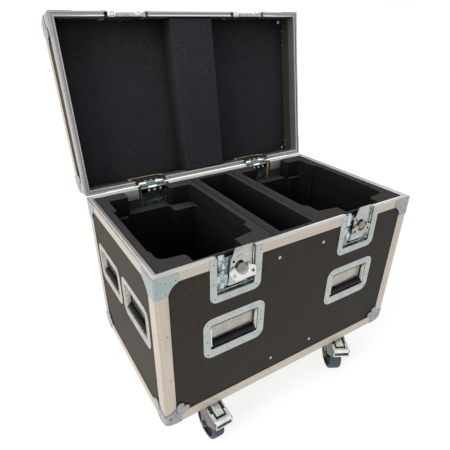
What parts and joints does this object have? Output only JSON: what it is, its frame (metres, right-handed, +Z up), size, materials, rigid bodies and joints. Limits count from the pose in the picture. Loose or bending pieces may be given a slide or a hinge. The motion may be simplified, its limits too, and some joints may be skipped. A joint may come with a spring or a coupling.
{
  "type": "wheeled flight case",
  "caption": "Wheeled flight case for stage lights with a hinged deep lid, recessed latches and spring handles, and foam nests either side of a middle space.",
  "frame": {"origin": "on the floor under the middle of the base, with the wheels standing on Z = 0", "axes": "+X to the right along the front, +Y from the latched front to the hinged back, +Z up"},
  "size_m": [0.8042, 0.7044, 1.0797],
  "materials": {
    "laminate": "satin",
    "edge_aluminium": "satin",
    "zinc_plate": "satin",
    "latch_wing": "satin",
    "foam": "matte",
    "handle_grip": "matte",
    "caster_rubber": "satin"
  },
  "bodies": {
    "case": {"base_front_panel": "laminate", "base_back_panel": "laminate", "base_left_panel": "laminate", "base_right_panel": "laminate", "base_floor_panel": "laminate", "base_edge_frame": "edge_aluminium", "base_rim_front_middle": "edge_aluminium", "base_rim_back_middle": "edge_aluminium", "divider_left": "laminate", "divider_right": "laminate", "foam_left_insert": "foam", "foam_right_insert": "foam", "foam_centre_liner": "foam", "latch_left_dish": "zinc_plate", "latch_right_dish": "zinc_plate", "hinge_left_base_leaf": "zinc_plate", "hinge_right_base_leaf": "zinc_plate", "handle_front_left_dish": "zinc_plate", "handle_front_right_dish": "zinc_plate", "handle_left_front_dish": "zinc_plate", "handle_left_back_dish": "zinc_plate", "handle_right_front_dish": "zinc_plate", "handle_right_back_dish": "zinc_plate", "caster_front_left_plate": "zinc_plate", "caster_front_right_plate": "zinc_plate", "caster_rear_left_plate": "zinc_plate", "caster_rear_right_plate": "zinc_plate"},
    "lid": {"lid_top_panel": "laminate", "lid_wall_ring": "laminate", "lid_edge_frame": "edge_aluminium", "lid_rim_front_middle": "edge_aluminium", "lid_rim_back_middle": "edge_aluminium", "lid_catch_left_dish": "zinc_plate", "lid_catch_right_dish": "zinc_plate", "hinge_left_lid_leaf": "zinc_plate", "hinge_right_lid_leaf": "zinc_plate", "lid_foam_liner": "foam", "lid_foam_band": "foam"},
    "latch_left_hook": {"latch_left_hook_plate": "zinc_plate"},
    "latch_left_hub": {"latch_left_turn_hub": "zinc_plate"},
    "latch_left_wing_body": {"latch_left_wing": "latch_wing"},
    "latch_right_hook": {"latch_right_hook_plate": "zinc_plate"},
    "latch_right_hub": {"latch_right_turn_hub": "zinc_plate"},
    "latch_right_wing_body": {"latch_right_wing": "latch_wing"},
    "bail_front_left": {"handle_front_left_bail": "handle_grip"},
    "bail_front_right": {"handle_front_right_bail": "handle_grip"},
    "bail_left_front": {"handle_left_front_bail": "handle_grip"},
    "bail_left_back": {"handle_left_back_bail": "handle_grip"},
    "bail_right_front": {"handle_right_front_bail": "handle_grip"},
    "bail_right_back": {"handle_right_back_bail": "handle_grip"},
    "swivel_front_left": {"caster_front_left_fork": "zinc_plate"},
    "swivel_front_right": {"caster_front_right_fork": "zinc_plate"},
    "swivel_rear_left": {"caster_rear_left_fork": "zinc_plate"},
    "swivel_rear_right": {"caster_rear_right_fork": "zinc_plate"},
    "wheel_front_left": {"caster_front_left_wheel": "caster_rubber"},
    "wheel_front_right": {"caster_front_right_wheel": "caster_rubber"},
    "wheel_rear_left": {"caster_rear_left_wheel": "caster_rubber"},
    "wheel_rear_right": {"caster_rear_right_wheel": "caster_rubber"},
    "pedal_front_left": {"caster_front_left_brake_pedal": "zinc_plate"},
    "pedal_front_right": {"caster_front_right_brake_pedal": "zinc_plate"}
  },
  "joints": [
    {"name": "lid_hinge", "type": "hinge", "parent": "case", "child": "lid", "pos_m": [0, 0.238, 0.613], "axis": [1, 0, 0], "range_deg": [0, 100]},
    {"name": "latch_left_turn", "type": "hinge", "parent": "case", "child": "latch_left_hub", "pos_m": [-0.184, -0.235, 0.569], "axis": [0, 1, 0], "range_deg": [0, 180]},
    {"name": "latch_left_hook_slide", "type": "slide", "parent": "case", "child": "latch_left_hook", "axis": [0, -0.2425, 0.9701], "range_m": [-0.00825, 0]},
    {"name": "latch_left_wing_fold", "type": "hinge", "parent": "latch_left_hub", "child": "latch_left_wing_body", "pos_m": [-0.184, -0.2342, 0.569], "axis": [1, 0, 0], "range_deg": [-50, 40]},
    {"name": "latch_right_turn", "type": "hinge", "parent": "case", "child": "latch_right_hub", "pos_m": [0.212, -0.235, 0.569], "axis": [0, 1, 0], "range_deg": [0, 180]},
    {"name": "latch_right_hook_slide", "type": "slide", "parent": "case", "child": "latch_right_hook", "axis": [0, -0.2425, 0.9701], "range_m": [-0.00825, 0]},
    {"name": "latch_right_wing_fold", "type": "hinge", "parent": "latch_right_hub", "child": "latch_right_wing_body", "pos_m": [0.212, -0.2342, 0.569], "axis": [1, 0, 0], "range_deg": [-90, 0]},
    {"name": "handle_front_left_swing", "type": "hinge", "parent": "case", "child": "bail_front_left", "pos_m": [-0.198, -0.228, 0.421], "axis": [-1, 0, 0], "range_deg": [0, 90], "stiffness_Nm_per_rad": 0.25, "springref_deg": -20.05},
    {"name": "handle_front_right_swing", "type": "hinge", "parent": "case", "child": "bail_front_right", "pos_m": [0.198, -0.228, 0.421], "axis": [-1, 0, 0], "range_deg": [0, 90], "stiffness_Nm_per_rad": 0.25, "springref_deg": -20.05},
    {"name": "handle_left_front_swing", "type": "hinge", "parent": "case", "child": "bail_left_front", "pos_m": [-0.393, -0.097, 0.465], "axis": [0, 1, 0], "range_deg": [0, 90], "stiffness_Nm_per_rad": 0.25, "springref_deg": -20.05},
    {"name": "handle_left_back_swing", "type": "hinge", "parent": "case", "child": "bail_left_back", "pos_m": [-0.393, 0.097, 0.465], "axis": [0, 1, 0], "range_deg": [0, 90], "stiffness_Nm_per_rad": 0.25, "springref_deg": -20.05},
    {"name": "handle_right_front_swing", "type": "hinge", "parent": "case", "child": "bail_right_front", "pos_m": [0.393, -0.097, 0.465], "axis": [0, -1, 0], "range_deg": [0, 90], "stiffness_Nm_per_rad": 0.25, "springref_deg": -20.05},
    {"name": "handle_right_back_swing", "type": "hinge", "parent": "case", "child": "bail_right_back", "pos_m": [0.393, 0.097, 0.465], "axis": [0, -1, 0], "range_deg": [0, 90], "stiffness_Nm_per_rad": 0.25, "springref_deg": -20.05},
    {"name": "caster_front_left_swivel", "type": "hinge", "parent": "case", "child": "swivel_front_left", "pos_m": [-0.253, -0.163, 0.155], "axis": [0, 0, 1], "continuous": true},
    {"name": "caster_front_right_swivel", "type": "hinge", "parent": "case", "child": "swivel_front_right", "pos_m": [0.253, -0.163, 0.155], "axis": [0, 0, 1], "continuous": true},
    {"name": "caster_rear_left_swivel", "type": "hinge", "parent": "case", "child": "swivel_rear_left", "pos_m": [-0.253, 0.163, 0.155], "axis": [0, 0, 1], "continuous": true},
    {"name": "caster_rear_right_swivel", "type": "hinge", "parent": "case", "child": "swivel_rear_right", "pos_m": [0.253, 0.163, 0.155], "axis": [0, 0, 1], "continuous": true},
    {"name": "wheel_front_left_spin", "type": "hinge", "parent": "swivel_front_left", "child": "wheel_front_left", "pos_m": [-0.253, -0.204, 0.05], "axis": [1, 0, 0], "continuous": true},
    {"name": "wheel_front_right_spin", "type": "hinge", "parent": "swivel_front_right", "child": "wheel_front_right", "pos_m": [0.23375, -0.1992, 0.05], "axis": [0.8829, -0.4695, 0], "continuous": true},
    {"name": "wheel_rear_left_spin", "type": "hinge", "parent": "swivel_rear_left", "child": "wheel_rear_left", "pos_m": [-0.253, 0.204, 0.05], "axis": [1, 0, 0], "continuous": true},
    {"name": "wheel_rear_right_spin", "type": "hinge", "parent": "swivel_rear_right", "child": "wheel_rear_right", "pos_m": [0.253, 0.204, 0.05], "axis": [1, 0, 0], "continuous": true},
    {"name": "brake_front_left_press", "type": "hinge", "parent": "swivel_front_left", "child": "pedal_front_left", "pos_m": [-0.253, -0.181, 0.131], "axis": [1, 0, 0], "range_deg": [0, 5]},
    {"name": "brake_front_right_press", "type": "hinge", "parent": "swivel_front_right", "child": "pedal_front_right", "pos_m": [0.24455, -0.17889, 0.131], "axis": [0.8829, -0.4695, 0], "range_deg": [0, 5]}
  ],
  "couplings": [
    {"joint": "latch_left_turn", "follows": "latch_left_hook_slide", "rad_per_m": -380.79},
    {"joint": "latch_right_turn", "follows": "latch_right_hook_slide", "rad_per_m": -380.79}
  ]
}
